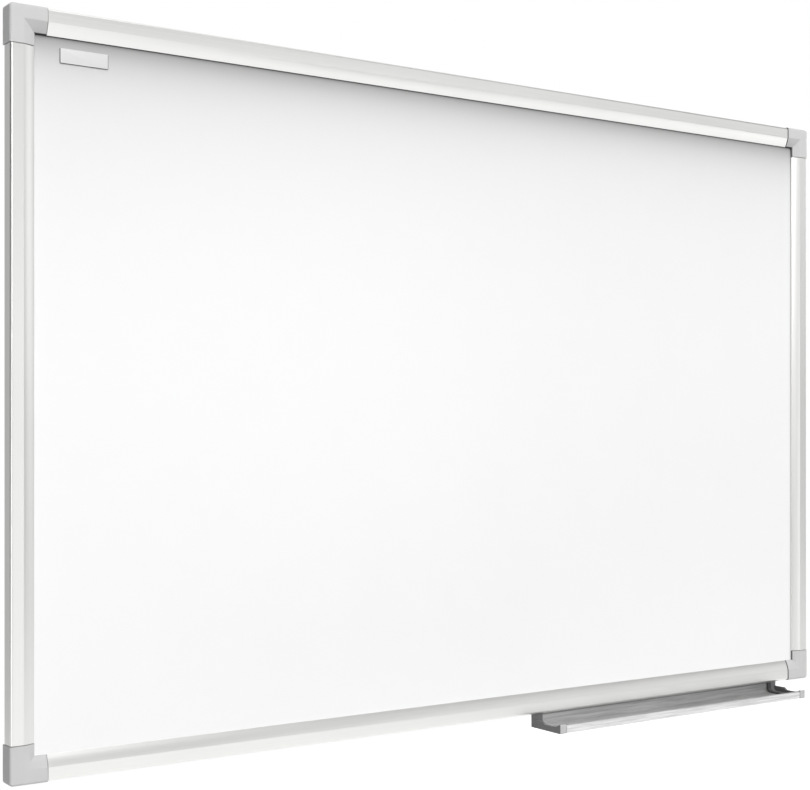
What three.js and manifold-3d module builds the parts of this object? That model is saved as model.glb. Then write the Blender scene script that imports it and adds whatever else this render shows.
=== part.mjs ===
import * as THREE from 'three';
import { mergeVertices } from 'three/addons/utils/BufferGeometryUtils.js';
import Module from 'manifold-3d';

// A framed magnetic whiteboard with a pen tray that slides along its bottom rail. Lengths are in millimetres.
// X runs along the board, Y goes into the wall and Z is up. The origin is the board's centre on the wall.
// Sections are drawn as (s, d): s is the distance in from the frame's outer face, d the distance out from the
// wall.

// Board and frame
const boardWidth = 900;
const boardHeight = 600;
const wallStandOff = 2;
const railDepth = 13;
const railWall = 1.2;
const flatBand = 10.4;
const slopeRun = 10;
const slopeDrop = 3.8;
const slopeCrown = 0.35;
const lipWall = 1.1;
const lipTip = 0.7;
const lipBead = 1.1;
const railEdgeRadius = 2;
const slotFloor = 11;
const rearFlangeReach = 17;

// Groove along the bottom rail's outer face, which takes the tray's tongue
const grooveMouth = 2;
const grooveWidth = 4.8;
const grooveDepth = 2;

// Panel sandwich
const writingSheetThickness = 0.4;
const backSheetThickness = 0.3;
const panelFaceClearance = 0.1;
const panelEdgeClearance = 0.4;

// Moulded corners
const cornerArm = 30;
const cornerCover = 0.6;
const cornerFrontLift = 0.5;
const cornerEdgeRadius = 2.2;
const cornerPlanRadius = 3;
const cornerWall = 2;
const cornerJointGap = 0.3;
const cornerCoreDepth = 12;

// Legs that plug into the rails
const legLength = 38;
const legClearance = 0.2;
const legTipTaper = 1.2;
const legPocketLength = 9;
const legPocketDepth = 3;
const legRib = 1.2;

// Keyholes in the back of each corner arm, for a wall screw's head
const keyholeRadius = 3.75;
const keyholeSlotWidth = 4.2;
const keyholeTravel = 6.5;
const keyholePlate = 2;
const keyholePocketDepth = 5.5;
const keyholeHeadMargin = 0.4;

// Self-tapping screws from the rails' back walls into the legs
const screwShankRadius = 1.3;
const screwHeadRadius = 2.5;
const screwHeadHeight = 1.6;
const screwHeadRound = 0.6;
const screwLength = 9;
const screwTip = 2;
const screwInset = 20;
const screwHoleClearance = 0.25;
const screwHoleSpareDepth = 1;

// Pen tray
const trayLength = 340;
const trayEndInset = 37;
const trayWallGap = 0.8;
const trayReach = 44.3;
const trayDrop = 15;
const trayFloor = 1.3;
const trayWall = 1.4;
const trayLipTop = 7;
const trayLipThickness = 1.5;
const trayFrontFillet = 3;
const trayEdgeRadius = 1.2;
const trayRearFillet = 5;
const tongueClearance = 0.3;

// Tray end caps
const capWidth = 7.5;
const capPlate = 2.2;
const capJointGap = 0.3;
const capShoulderDrop = 7.3;
const capShoulderFront = 16.3;
const capDipDrop = 9.8;
const capDipRear = 21.5;
const capDipFront = 28.5;
const capFrontDrop = 6.2;
const capLinerThickness = 0.9;
const capLinerClearance = 0.3;
const capLinerLength = 4.5;
const capCornerClearance = 0.6;

// Facets and cuts
const arcSteps = 8;
const slopeSteps = 8;
const roundSteps = 20;
const cutOverrun = 1;

// Places worked out from the sizes
const railFront = wallStandOff + railDepth;
const slotRear = wallStandOff + railWall;
const lipEdge = flatBand + slopeRun;
const lipUnderside = railFront - slopeDrop - lipTip;
const grooveAxis = wallStandOff + railDepth / 2;
const grooveFloor = railWall + grooveDepth;
const chamberInner = slotFloor - railWall;
const chamberFront = railFront - railWall;
const grooveWallDepth = grooveWidth / 2 + railWall;
const chamberOuter = grooveFloor + railWall;
const panelWidth = boardWidth - 2 * (slotFloor + panelEdgeClearance);
const panelHeight = boardHeight - 2 * (slotFloor + panelEdgeClearance);
const panelFront = lipUnderside - panelFaceClearance;
const panelRear = slotRear + panelFaceClearance;
const legMiddle = (chamberOuter + chamberInner) / 2;
const screwPlace = cornerArm + screwInset;
const trayCentre = boardWidth / 2 - trayEndInset - trayLength / 2;
const trayRearFace = trayWallGap + trayWall;
const flangeUnderside = -tongueClearance - trayWall;
const capRoomInset = capLinerClearance + capLinerThickness;
const cornerFront = railFront + cornerFrontLift;

const wasm = await Module();
wasm.setup();

// Turns of a drawn section: its first and second axis and the way it is pulled out
const alongX = new THREE.Matrix4().makeBasis(
	new THREE.Vector3(0, 0, 1),
	new THREE.Vector3(0, -1, 0),
	new THREE.Vector3(1, 0, 0)
);
const outFromWall = new THREE.Matrix4().makeBasis(
	new THREE.Vector3(1, 0, 0),
	new THREE.Vector3(0, 0, 1),
	new THREE.Vector3(0, -1, 0)
);

const materials = {
	anodised: new THREE.MeshStandardMaterial({ color: 0xd9dad8, roughness: 0.35, metalness: 1 }),
	tray: new THREE.MeshStandardMaterial({ color: 0xb9babb, roughness: 0.4, metalness: 1 }),
	lacquer: new THREE.MeshStandardMaterial({ color: 0xfafaf8, roughness: 0.2, metalness: 0 }),
	fibreBoard: new THREE.MeshStandardMaterial({ color: 0xb59a73, roughness: 0.9, metalness: 0 }),
	galvanised: new THREE.MeshStandardMaterial({ color: 0xa9adb0, roughness: 0.5, metalness: 1 }),
	cornerPlastic: new THREE.MeshStandardMaterial({ color: 0xcfd0d0, roughness: 0.5, metalness: 0 }),
	capPlastic: new THREE.MeshStandardMaterial({ color: 0x8b8c8d, roughness: 0.5, metalness: 0 }),
	zincSteel: new THREE.MeshStandardMaterial({ color: 0xc4c6c8, roughness: 0.3, metalness: 1 })
};

// A closed geometry as a solid for joining and cutting. A mirrored one swaps X and Z.
function solidOf(geometry, mirrored = false) {
	const bare = geometry.clone();
	bare.deleteAttribute('normal');
	bare.deleteAttribute('uv');
	const merged = mergeVertices(bare);
	const vertProperties = Float32Array.from(merged.getAttribute('position').array);
	const triVerts = Uint32Array.from(merged.getIndex().array);
	if (mirrored) {
		for (let i = 0; i < vertProperties.length; i += 3) {
			const x = vertProperties[i];
			vertProperties[i] = vertProperties[i + 2];
			vertProperties[i + 2] = x;
		}
		triVerts.reverse();
	}
	return new wasm.Manifold(new wasm.Mesh({ numProp: 3, vertProperties, triVerts }));
}

function geometryOf(solid) {
	const mesh = solid.getMesh();
	const geometry = new THREE.BufferGeometry();
	geometry.setAttribute('position', new THREE.BufferAttribute(Float32Array.from(mesh.vertProperties), 3));
	geometry.setIndex(new THREE.BufferAttribute(Uint32Array.from(mesh.triVerts), 1));
	geometry.computeVertexNormals();
	return geometry;
}

// A section pulled along X between two places
function prism(shape, from, to) {
	const geometry = new THREE.ExtrudeGeometry(shape, {
		depth: to - from,
		bevelEnabled: false,
		curveSegments: arcSteps
	});
	return geometry.applyMatrix4(alongX).translate(from, 0, 0);
}

// A plan drawn in X and Z, pulled out from the wall between two distances
function plate(shape, from, to, curveSegments = arcSteps) {
	const geometry = new THREE.ExtrudeGeometry(shape, {
		depth: to - from,
		bevelEnabled: false,
		curveSegments
	});
	return geometry.applyMatrix4(outFromWall).translate(0, -from, 0);
}

// A block given by its limits along X, out from the wall and along Z
function block(xLow, xHigh, outLow, outHigh, zLow, zHigh) {
	const geometry = new THREE.BoxGeometry(xHigh - xLow, outHigh - outLow, zHigh - zLow);
	return geometry.translate((xLow + xHigh) / 2, -(outLow + outHigh) / 2, (zLow + zHigh) / 2);
}

// A round hole or bore square to the wall
function bore(x, z, radius, outLow, outHigh) {
	const geometry = new THREE.CylinderGeometry(radius, radius, outHigh - outLow, roundSteps);
	return geometry.translate(x, -(outLow + outHigh) / 2, z);
}

// The crowned slope between the flat band and the lip's edge, at a share of its run
function slopeDepth(share) {
	return railFront - slopeDrop * share + 4 * slopeCrown * share * (1 - share);
}

// The outline that rails and corners have in common, drawn from the rear outer edge round to the flat band
function drawFlangeSlotAndLip(shape, outer, back, lift) {
	shape.moveTo(outer, back);
	shape.lineTo(rearFlangeReach, back);
	shape.lineTo(rearFlangeReach, slotRear);
	shape.lineTo(slotFloor, slotRear);
	const firstShare = (slotFloor - flatBand) / slopeRun;
	const lastShare = (slopeRun - lipBead) / slopeRun;
	for (let i = 0; i <= slopeSteps; i++) {
		const share = firstShare + (lastShare - firstShare) * i / slopeSteps;
		shape.lineTo(flatBand + slopeRun * share, slopeDepth(share) - lipWall);
	}
	shape.lineTo(lipEdge - lipBead, lipUnderside);
	shape.lineTo(lipEdge, lipUnderside);
	for (let i = slopeSteps; i >= 0; i--) {
		const share = i / slopeSteps;
		shape.lineTo(flatBand + slopeRun * share, slopeDepth(share) + lift);
	}
}

function railSection(grooved) {
	const shape = new THREE.Shape();
	drawFlangeSlotAndLip(shape, 0, wallStandOff, 0);
	shape.lineTo(railEdgeRadius, railFront);
	shape.absarc(railEdgeRadius, railFront - railEdgeRadius, railEdgeRadius, Math.PI / 2, Math.PI, false);
	if (grooved) {
		shape.lineTo(0, grooveAxis + grooveMouth / 2);
		shape.lineTo(railWall, grooveAxis + grooveMouth / 2);
		shape.lineTo(railWall, grooveAxis + grooveWidth / 2);
		shape.lineTo(grooveFloor, grooveAxis + grooveWidth / 2);
		shape.lineTo(grooveFloor, grooveAxis - grooveWidth / 2);
		shape.lineTo(railWall, grooveAxis - grooveWidth / 2);
		shape.lineTo(railWall, grooveAxis - grooveMouth / 2);
		shape.lineTo(0, grooveAxis - grooveMouth / 2);
	}
	shape.closePath();

	const chamber = new THREE.Path();
	chamber.moveTo(railWall, slotRear);
	chamber.lineTo(chamberInner, slotRear);
	chamber.lineTo(chamberInner, chamberFront);
	chamber.lineTo(railWall, chamberFront);
	if (grooved) {
		chamber.lineTo(railWall, grooveAxis + grooveWallDepth);
		chamber.lineTo(chamberOuter, grooveAxis + grooveWallDepth);
		chamber.lineTo(chamberOuter, grooveAxis - grooveWallDepth);
		chamber.lineTo(railWall, grooveAxis - grooveWallDepth);
	}
	chamber.closePath();
	shape.holes.push(chamber);
	return shape;
}

// One rail laid as the bottom one, its outer face at Z zero, with a screw hole near each end of its back wall
function railGeometry(side, grooved) {
	const half = side / 2 - cornerArm - cornerJointGap;
	let rail = solidOf(prism(railSection(grooved), -half, half));
	for (const end of [-1, 1]) {
		const place = end * (side / 2 - screwPlace);
		const radius = screwShankRadius + screwHoleClearance;
		const hole = bore(place, legMiddle, radius, wallStandOff - cutOverrun, slotRear + cutOverrun);
		rail = rail.subtract(solidOf(hole));
	}
	return geometryOf(rail);
}

function cornerSection() {
	const shape = new THREE.Shape();
	drawFlangeSlotAndLip(shape, -cornerCover, 0, cornerFrontLift);
	shape.lineTo(-cornerCover, cornerFront);
	shape.closePath();
	return shape;
}

// A block with the corner's rounded outer edges, open-ended towards both arms
function cornerEnvelope() {
	const far = 2 * cornerArm;
	const low = -cornerCover;
	const shape = new THREE.Shape();
	shape.moveTo(low + cornerPlanRadius, low);
	shape.lineTo(far, low);
	shape.lineTo(far, far);
	shape.lineTo(low, far);
	shape.lineTo(low, low + cornerPlanRadius);
	const turn = low + cornerPlanRadius;
	shape.absarc(turn, turn, cornerPlanRadius, Math.PI, Math.PI * 1.5, false);
	shape.closePath();
	const geometry = new THREE.ExtrudeGeometry(shape, {
		depth: cornerFront,
		bevelThickness: cornerEdgeRadius,
		bevelSize: cornerEdgeRadius,
		bevelOffset: -cornerEdgeRadius,
		bevelSegments: arcSteps,
		curveSegments: arcSteps
	});
	return geometry.applyMatrix4(outFromWall).translate(0, cornerEdgeRadius, 0);
}

// The leg that plugs into a rail laid along X: tapered tip, and pockets with ribs between them on its inner
// face
function legSolid() {
	const root = cornerArm - cornerWall;
	const tip = cornerArm + legLength;
	const low = chamberOuter + legClearance;
	const high = chamberInner - legClearance;
	const rear = slotRear + legClearance;
	const front = chamberFront - legClearance;
	const outline = new THREE.Shape();
	outline.moveTo(root, low);
	outline.lineTo(tip - legTipTaper, low);
	outline.lineTo(tip, low + legTipTaper);
	outline.lineTo(tip, high - legTipTaper);
	outline.lineTo(tip - legTipTaper, high);
	outline.lineTo(root, high);
	outline.closePath();
	let leg = solidOf(plate(outline, rear, front));

	// Pockets on both sides of the boss that takes the screw
	const boss = 2 * (screwShankRadius + screwHoleClearance) + 2 * legRib;
	const starts = [screwPlace - boss / 2 - legPocketLength, screwPlace + boss / 2];
	for (const start of starts) {
		const end = Math.min(start + legPocketLength, tip - legTipTaper - legRib);
		const first = Math.max(start, cornerArm + legRib);
		const middle = (rear + front) / 2;
		const bays = [[rear + legRib, middle - legRib / 2], [middle + legRib / 2, front - legRib]];
		for (const [outLow, outHigh] of bays) {
			const pocket = block(first, end, outLow, outHigh, high - legPocketDepth, high + cutOverrun);
			leg = leg.subtract(solidOf(pocket));
		}
	}
	const depth = wallStandOff + screwLength + screwHoleSpareDepth;
	const pilot = bore(screwPlace, legMiddle, screwShankRadius + screwHoleClearance, rear - cutOverrun, depth);
	return leg.subtract(solidOf(pilot));
}

// Keyhole in the back of an arm along X: its slot runs from the round hole towards the corner
function keyholeCuts() {
	const pocketLow = railWall + keyholeHeadMargin / 2;
	const axis = (pocketLow + chamberInner) / 2;
	const holePlace = cornerArm - cornerWall * 2 - keyholeRadius - keyholeHeadMargin;
	const slotEnd = holePlace - keyholeTravel;
	const halfSlot = keyholeSlotWidth / 2;
	const opening = Math.asin(halfSlot / keyholeRadius);
	const mouth = new THREE.Shape();
	mouth.absarc(holePlace, axis, keyholeRadius, opening - Math.PI, Math.PI - opening, false);
	mouth.absarc(slotEnd, axis, halfSlot, Math.PI / 2, Math.PI * 1.5, false);
	mouth.closePath();
	const pocketStart = slotEnd - keyholeRadius - keyholeHeadMargin;
	const pocketEnd = holePlace + keyholeRadius + keyholeHeadMargin;
	const pocketOut = keyholePlate + keyholePocketDepth;
	return [
		plate(mouth, -cutOverrun, keyholePlate + cutOverrun, roundSteps),
		block(pocketStart, pocketEnd, keyholePlate, pocketOut, pocketLow, chamberInner)
	];
}

// One moulded corner about the frame's outer corner, with its arms along X and Z
function cornerGeometry() {
	const arm = prism(cornerSection(), -cornerCover, cornerArm);
	const leg = geometryOf(legSolid());
	let corner = solidOf(arm).add(solidOf(arm, true));
	corner = corner.intersect(solidOf(cornerEnvelope()));
	corner = corner.add(solidOf(leg)).add(solidOf(leg, true));
	for (const cut of keyholeCuts()) {
		corner = corner.subtract(solidOf(cut)).subtract(solidOf(cut, true));
	}
	const coreLow = cornerWall - cornerCover;
	const core = block(coreLow, chamberInner, -cutOverrun, cornerCoreDepth, coreLow, chamberInner);
	return geometryOf(corner.subtract(solidOf(core)));
}

// A pan-head self-tapping screw about its own axis, head first along Y
function screwGeometry() {
	const profile = [
		new THREE.Vector2(0, -screwLength),
		new THREE.Vector2(screwShankRadius, screwTip - screwLength),
		new THREE.Vector2(screwShankRadius, 0),
		new THREE.Vector2(screwHeadRadius, 0),
		new THREE.Vector2(screwHeadRadius, screwHeadHeight - screwHeadRound),
		new THREE.Vector2(screwHeadRadius - screwHeadRound, screwHeadHeight),
		new THREE.Vector2(0, screwHeadHeight)
	];
	return new THREE.LatheGeometry(profile, roundSteps);
}

// The trough's inner surface, drawn down the rear wall's front face and round to the lip's top. Each point
// moves inwards by an inset, so that the caps' liners follow the same curve.
function drawTrough(path, inset, frontTop) {
	const floor = trayFloor - trayDrop + inset;
	const rear = trayRearFace + inset;
	const lip = trayReach - trayLipThickness - inset;
	path.lineTo(floor + trayRearFillet, rear);
	path.quadraticCurveTo(floor, rear, floor, rear + trayRearFillet);
	path.lineTo(floor, lip - trayFrontFillet);
	path.quadraticCurveTo(floor, lip, floor + trayFrontFillet, lip);
	path.lineTo(frontTop, lip);
}

// The extruded tray: T-shaped tongue, flange under the rail, rear wall beside the wall, floor and rounded front
// lip. Its sections are drawn as (height, distance out from the wall), with the rail's lower face at height
// zero.
function traySection() {
	const neck = grooveMouth / 2 - tongueClearance;
	const head = grooveWidth / 2 - tongueClearance;
	const headLow = railWall + tongueClearance;
	const headHigh = grooveFloor - tongueClearance;
	const half = trayLipThickness / 2;
	const shape = new THREE.Shape();
	shape.moveTo(headLow, grooveAxis - neck);
	shape.lineTo(headLow, grooveAxis - head);
	shape.lineTo(headHigh, grooveAxis - head);
	shape.lineTo(headHigh, grooveAxis + head);
	shape.lineTo(headLow, grooveAxis + head);
	shape.lineTo(headLow, grooveAxis + neck);
	shape.lineTo(flangeUnderside, grooveAxis + neck);
	shape.lineTo(flangeUnderside, trayRearFace);
	drawTrough(shape, 0, -trayLipTop - half);
	shape.absarc(-trayLipTop - half, trayReach - half, half, Math.PI * 1.5, Math.PI * 2.5, false);
	shape.lineTo(-trayDrop + trayEdgeRadius, trayReach);
	shape.quadraticCurveTo(-trayDrop, trayReach, -trayDrop, trayReach - trayEdgeRadius);
	shape.lineTo(-trayDrop, trayWallGap);
	shape.lineTo(-tongueClearance, trayWallGap);
	shape.lineTo(-tongueClearance, grooveAxis - neck);
	shape.closePath();
	return shape;
}

// The end plate's outline: upright strip beside the wall, low enough to pass under a corner, then a level
// shoulder, S-shaped fall to a dip, and rise to the lip
function capOutline() {
	const half = trayLipThickness / 2;
	const slopeMiddle = (capShoulderFront + capDipRear) / 2;
	const dropMiddle = (capShoulderDrop + capDipDrop) / 2;
	const top = -cornerCover - capCornerClearance;
	const shape = new THREE.Shape();
	shape.moveTo(-trayDrop, trayWallGap);
	shape.lineTo(top, trayWallGap);
	shape.lineTo(top, trayRearFace + capRoomInset);
	shape.lineTo(-capShoulderDrop, trayRearFace + capRoomInset);
	shape.lineTo(-capShoulderDrop, capShoulderFront);
	shape.quadraticCurveTo(-capShoulderDrop, (capShoulderFront + slopeMiddle) / 2, -dropMiddle, slopeMiddle);
	shape.quadraticCurveTo(-capDipDrop, (capDipRear + slopeMiddle) / 2, -capDipDrop, capDipRear);
	shape.lineTo(-capDipDrop, capDipFront);
	shape.quadraticCurveTo(-capDipDrop, (capDipFront + trayReach) / 2, -capFrontDrop, trayReach - half);
	shape.quadraticCurveTo(-capFrontDrop, trayReach, -capFrontDrop - half, trayReach);
	shape.lineTo(-trayDrop + trayEdgeRadius, trayReach);
	shape.quadraticCurveTo(-trayDrop, trayReach, -trayDrop, trayReach - trayEdgeRadius);
	shape.closePath();
	return shape;
}

// The trough's room above a surface that lies inset from the extrusion's inner face
function troughRoom(inset, rearTop, frontTop) {
	const shape = new THREE.Shape();
	shape.moveTo(rearTop, trayRearFace + inset);
	drawTrough(shape, inset, frontTop);
	shape.closePath();
	return shape;
}

// An end cap: a block of the end plate's outline, hollowed to the trough, with a liner that overlaps the
// extrusion
function capGeometry(side) {
	const outer = side * trayLength / 2;
	const plateInner = outer - side * capPlate;
	const blockInner = outer - side * capWidth;
	const linerInner = blockInner - side * capLinerLength;
	const between = (shape, a, b) => solidOf(prism(shape, Math.min(a, b), Math.max(a, b)));
	const linerShape = troughRoom(capLinerClearance, flangeUnderside - capLinerClearance, -capShoulderDrop);
	const roomShape = troughRoom(capRoomInset, cutOverrun, cutOverrun);
	const body = between(capOutline(), outer, blockInner);
	const liner = between(linerShape, plateInner, linerInner);
	const room = between(roomShape, plateInner, linerInner - side * cutOverrun);
	return geometryOf(body.add(liner).subtract(room));
}

function addMesh(group, name, geometry, material) {
	const mesh = new THREE.Mesh(geometry, material);
	mesh.name = name;
	group.add(mesh);
	return mesh;
}

const whiteboard = new THREE.Group();

// Panel: two sheets bonded to a core
const panelLayers = [
	['back_sheet', panelRear, panelRear + backSheetThickness, materials.galvanised],
	['core_board', panelRear + backSheetThickness, panelFront - writingSheetThickness, materials.fibreBoard],
	['writing_sheet', panelFront - writingSheetThickness, panelFront, materials.lacquer]
];
for (const [name, rear, front, material] of panelLayers) {
	const layer = block(-panelWidth / 2, panelWidth / 2, rear, front, -panelHeight / 2, panelHeight / 2);
	addMesh(whiteboard, name, layer, material);
}

// Frame: each side is laid like the bottom one and turned about Y, with its rail, the screws of both ends and
// one corner. Only the bottom rail has the tray's groove.
const frameSides = [
	{ rail: 'bottom', corner: 'bottom_left', turn: 0, length: boardWidth, across: boardHeight },
	{ rail: 'right', corner: 'bottom_right', turn: -0.5, length: boardHeight, across: boardWidth },
	{ rail: 'top', corner: 'top_right', turn: 1, length: boardWidth, across: boardHeight },
	{ rail: 'left', corner: 'top_left', turn: 0.5, length: boardHeight, across: boardWidth }
];
const railEnds = {
	bottom: ['left', 'right'],
	right: ['bottom', 'top'],
	top: ['right', 'left'],
	left: ['top', 'bottom']
};
for (const side of frameSides) {
	const group = new THREE.Group();
	group.rotation.y = side.turn * Math.PI;
	whiteboard.add(group);
	const profile = railGeometry(side.length, side.rail === 'bottom');
	const rail = addMesh(group, `rail_${side.rail}`, profile, materials.anodised);
	rail.position.z = -side.across / 2;
	const corner = addMesh(group, `corner_${side.corner}`, cornerGeometry(), materials.cornerPlastic);
	corner.position.set(-side.length / 2, 0, -side.across / 2);
	for (const [i, end] of railEnds[side.rail].entries()) {
		const screw = addMesh(group, `screw_${side.rail}_rail_${end}`, screwGeometry(), materials.zincSteel);
		const place = side.length / 2 - screwPlace;
		screw.position.set(i === 0 ? -place : place, -wallStandOff, legMiddle - side.across / 2);
	}
}

// Pen tray, hung in the bottom rail's groove
const tray = new THREE.Group();
tray.position.set(trayCentre, 0, -boardHeight / 2);
whiteboard.add(tray);
const profileHalf = trayLength / 2 - capWidth - capJointGap;
addMesh(tray, 'tray_profile', prism(traySection(), -profileHalf, profileHalf), materials.tray);
addMesh(tray, 'tray_end_cap_left', capGeometry(-1), materials.capPlastic);
addMesh(tray, 'tray_end_cap_right', capGeometry(1), materials.capPlastic);

export default whiteboard;
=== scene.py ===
import math
from functools import partial

import bmesh
import bpy
from mathutils import Matrix, Vector


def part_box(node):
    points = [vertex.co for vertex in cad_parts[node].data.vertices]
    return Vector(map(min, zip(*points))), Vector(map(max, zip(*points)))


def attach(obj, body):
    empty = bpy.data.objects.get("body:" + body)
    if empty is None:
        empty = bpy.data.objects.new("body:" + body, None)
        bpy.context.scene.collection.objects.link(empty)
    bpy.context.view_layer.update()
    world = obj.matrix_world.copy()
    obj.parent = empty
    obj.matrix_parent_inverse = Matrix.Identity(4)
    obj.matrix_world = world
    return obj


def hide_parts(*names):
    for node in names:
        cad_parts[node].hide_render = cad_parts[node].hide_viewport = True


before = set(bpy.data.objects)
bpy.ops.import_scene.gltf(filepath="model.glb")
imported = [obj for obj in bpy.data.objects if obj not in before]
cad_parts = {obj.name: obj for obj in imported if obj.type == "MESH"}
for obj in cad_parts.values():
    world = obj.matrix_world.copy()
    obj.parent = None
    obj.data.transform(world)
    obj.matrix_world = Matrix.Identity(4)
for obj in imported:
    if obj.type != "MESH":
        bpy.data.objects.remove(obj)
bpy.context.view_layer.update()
print("frame loaded:", len(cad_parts), "nodes")

# X runs along the board, Y goes into the wall, Z is up. The origin is the board's centre on the wall. Sizes in the
# dictionaries are in millimetres, unless a comment or name says otherwise.
mm = 0.001
scene = bpy.context.scene
scene.view_settings.view_transform = "Standard"

cameraSetup = {
    # In metres
    "place": (-0.856, -1.144, -0.0243),
    "turnDegrees": (90, 0, -34.345),
    "lens": 67.51,
    "sensorWidth": 36,
    "shiftUp": 0.0384,
}

cameraData = bpy.data.cameras.new("photoCamera")
cameraData.sensor_fit = "HORIZONTAL"
cameraData.sensor_width = cameraSetup["sensorWidth"]
cameraData.lens = cameraSetup["lens"]
cameraData.shift_y = cameraSetup["shiftUp"]
photoCamera = bpy.data.objects.new("photoCamera", cameraData)
photoCamera.location = cameraSetup["place"]
photoCamera.rotation_euler = [math.radians(a) for a in cameraSetup["turnDegrees"]]
scene.collection.objects.link(photoCamera)
scene.camera = photoCamera
print("camera set")


def linearColour(hexColour):
    # sRGB hex to the linear values that shaders take
    channels = [int(hexColour[i:i + 2], 16) / 255 for i in (1, 3, 5)]
    return tuple(c / 12.92 if c <= 0.04045 else ((c + 0.055) / 1.055) ** 2.4 for c in channels) + (1.0,)


def addNode(tree, kind, settings=None, links=None):
    # One node with its settings. A link is another node, whose first output in use is taken, or a socket, or a list of
    # nodes for a socket that takes several, or a colour in hex, or a plain value.
    node = tree.nodes.new(kind)
    for key, value in (settings or {}).items():
        setattr(node, key, value)
    for key, value in (links or {}).items():
        for source in value if isinstance(value, list) else [value]:
            if isinstance(source, bpy.types.Node):
                source = next(socket for socket in source.outputs if socket.enabled)
            elif isinstance(source, str) and source.startswith("#"):
                source = linearColour(source)
            if isinstance(source, bpy.types.NodeSocket):
                tree.links.new(source, node.inputs[key])
            else:
                node.inputs[key].default_value = source
    return node


# Settings that many nodes share
times = {"operation": "MULTIPLY"}
larger = {"operation": "MAXIMUM"}
above = {"operation": "GREATER_THAN"}
scaled = {"operation": "SCALE"}
smooth = {"interpolation_type": "SMOOTHSTEP"}
colours = {"data_type": "RGBA"}


def bareNodes(owner):
    # The function that adds nodes to a material or world, once it is emptied
    owner.use_nodes = True
    owner.node_tree.nodes.clear()
    return partial(addNode, owner.node_tree)


def newMaterial(name, attribute=None):
    # A material, its function for adding nodes, and the coordinates for its textures: the piece's own or an attribute
    material = bpy.data.materials.new(name)
    add = bareNodes(material)
    if attribute:
        return material, add, add("ShaderNodeAttribute", {"attribute_name": attribute}).outputs["Vector"]
    return material, add, add("ShaderNodeTexCoord").outputs["Object"]


def surfaced(material, surface):
    # The material with its surface's inputs joined up
    shader = addNode(material.node_tree, "ShaderNodeBsdfPrincipled", links=surface)
    addNode(material.node_tree, "ShaderNodeOutputMaterial", links={"Surface": shader})
    return material


def meshPiece(name, mesh):
    piece = bpy.data.objects.new(name, mesh)
    scene.collection.objects.link(piece)
    return piece


def evaluatedMesh(piece, name):
    # The piece's mesh with its modifiers applied, after which the piece itself isn't needed
    depsgraph = bpy.context.evaluated_depsgraph_get()
    mesh = bpy.data.meshes.new_from_object(
        piece.evaluated_get(depsgraph), preserve_all_data_layers=True, depsgraph=depsgraph)
    mesh.name = name
    bpy.data.objects.remove(piece)
    return mesh


railSizes = {
    "wallGap": 2.0,
    "depth": 13.0,
    "wall": 1.2,
    "flatBand": 10.4,
    "slopeRun": 10.0,
    "slopeDrop": 3.8,
    "slopeCrown": 0.35,
    "lipWall": 1.1,
    "lipTip": 0.7,
    "lipBead": 1.1,
    "edgeRadius": 2.0,
    "slotFloor": 11.0,
    "flangeReach": 17.0,
    "grooveMouth": 2.0,
    "grooveWidth": 4.8,
    "grooveDepth": 2.0,
    "breakEdge": 0.25,
    "cornerArm": 30.0,
    "jointGap": 0.45,
    "boardWidth": 900.0,
    "boardHeight": 600.0,
}
# The lip's edge over the panel, measured in from the frame's outer face
lipEdge = railSizes["flatBand"] + railSizes["slopeRun"]


def satinAnodisedAluminium():
    # Anodised aluminium, extruded and etched satin: a soft broad sheen with fine die lines along its length
    material, add, drawn = newMaterial("satinAnodisedAluminium", "drawn")
    # Die lines are about 0.2 mm apart; they are drawn 0.7 mm apart so that they show
    across = add("ShaderNodeMapping", links={
        "Vector": drawn, "Scale": (1 / (0.7 * mm), 1 / (0.7 * mm), 1 / (900 * mm))})
    lines = add("ShaderNodeTexNoise", links={"Vector": across, "Scale": 1.0, "Detail": 2.0, "Roughness": 0.6})
    # The etch leaves a speckle of about 0.1 mm, drawn at 0.5 mm
    speckle = add("ShaderNodeTexNoise", links={"Vector": drawn, "Scale": 1 / (0.5 * mm), "Detail": 1.0})
    # Slow change of tone along the length, about 120 mm
    cloud = add("ShaderNodeTexNoise", links={"Vector": drawn, "Scale": 1 / (120 * mm), "Detail": 2.0})
    tone = add("ShaderNodeMix", colours, {0: lines, 6: "#E3E3E1", 7: "#EDEDEB"})
    cloudLevel = add("ShaderNodeMapRange", links={"Value": cloud, "To Min": 0.96, "To Max": 1.03})
    toned = add("ShaderNodeVectorMath", scaled, {0: tone, "Scale": cloudLevel})
    sheen = add("ShaderNodeMapRange", links={"Value": lines, "To Min": 0.26, "To Max": 0.40})
    height = add("ShaderNodeMath", {"operation": "MULTIPLY_ADD"}, {0: speckle, 1: 0.35, 2: lines})
    bump = add("ShaderNodeBump", links={"Height": height, "Strength": 0.25, "Distance": 0.03 * mm})
    return surfaced(material, {"Metallic": 1.0, "Base Color": toned, "Roughness": sheen, "Normal": bump})


trayShadeAndWear = {
    # Painted shade on the trough's rear wall under the rail: out from the wall, where it begins to fade, where it is
    # gone, and its tone
    "wallShadeFrom": 2.3,
    "wallShadeFull": 3.8,
    "wallShadeTone": 0.74,
    # The trough is what lies behind this depth and above this height in the section
    "troughFront": 42.9,
    "troughFloor": -14.2,
    "scuffed": 0.22,
    # The trough's tone along the board, from its lighter to its darker end
    "lighterEnd": 80.0,
    "darkerEnd": 410.0,
    "lighterTone": 1.06,
    "darkerTone": 0.88,
    # Painted shadow along the top of the rear wall, close under the rail
    "railShadowLow": -304.8,
    "railShadowHigh": -303.4,
    "railShadowTone": 0.55,
}


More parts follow.
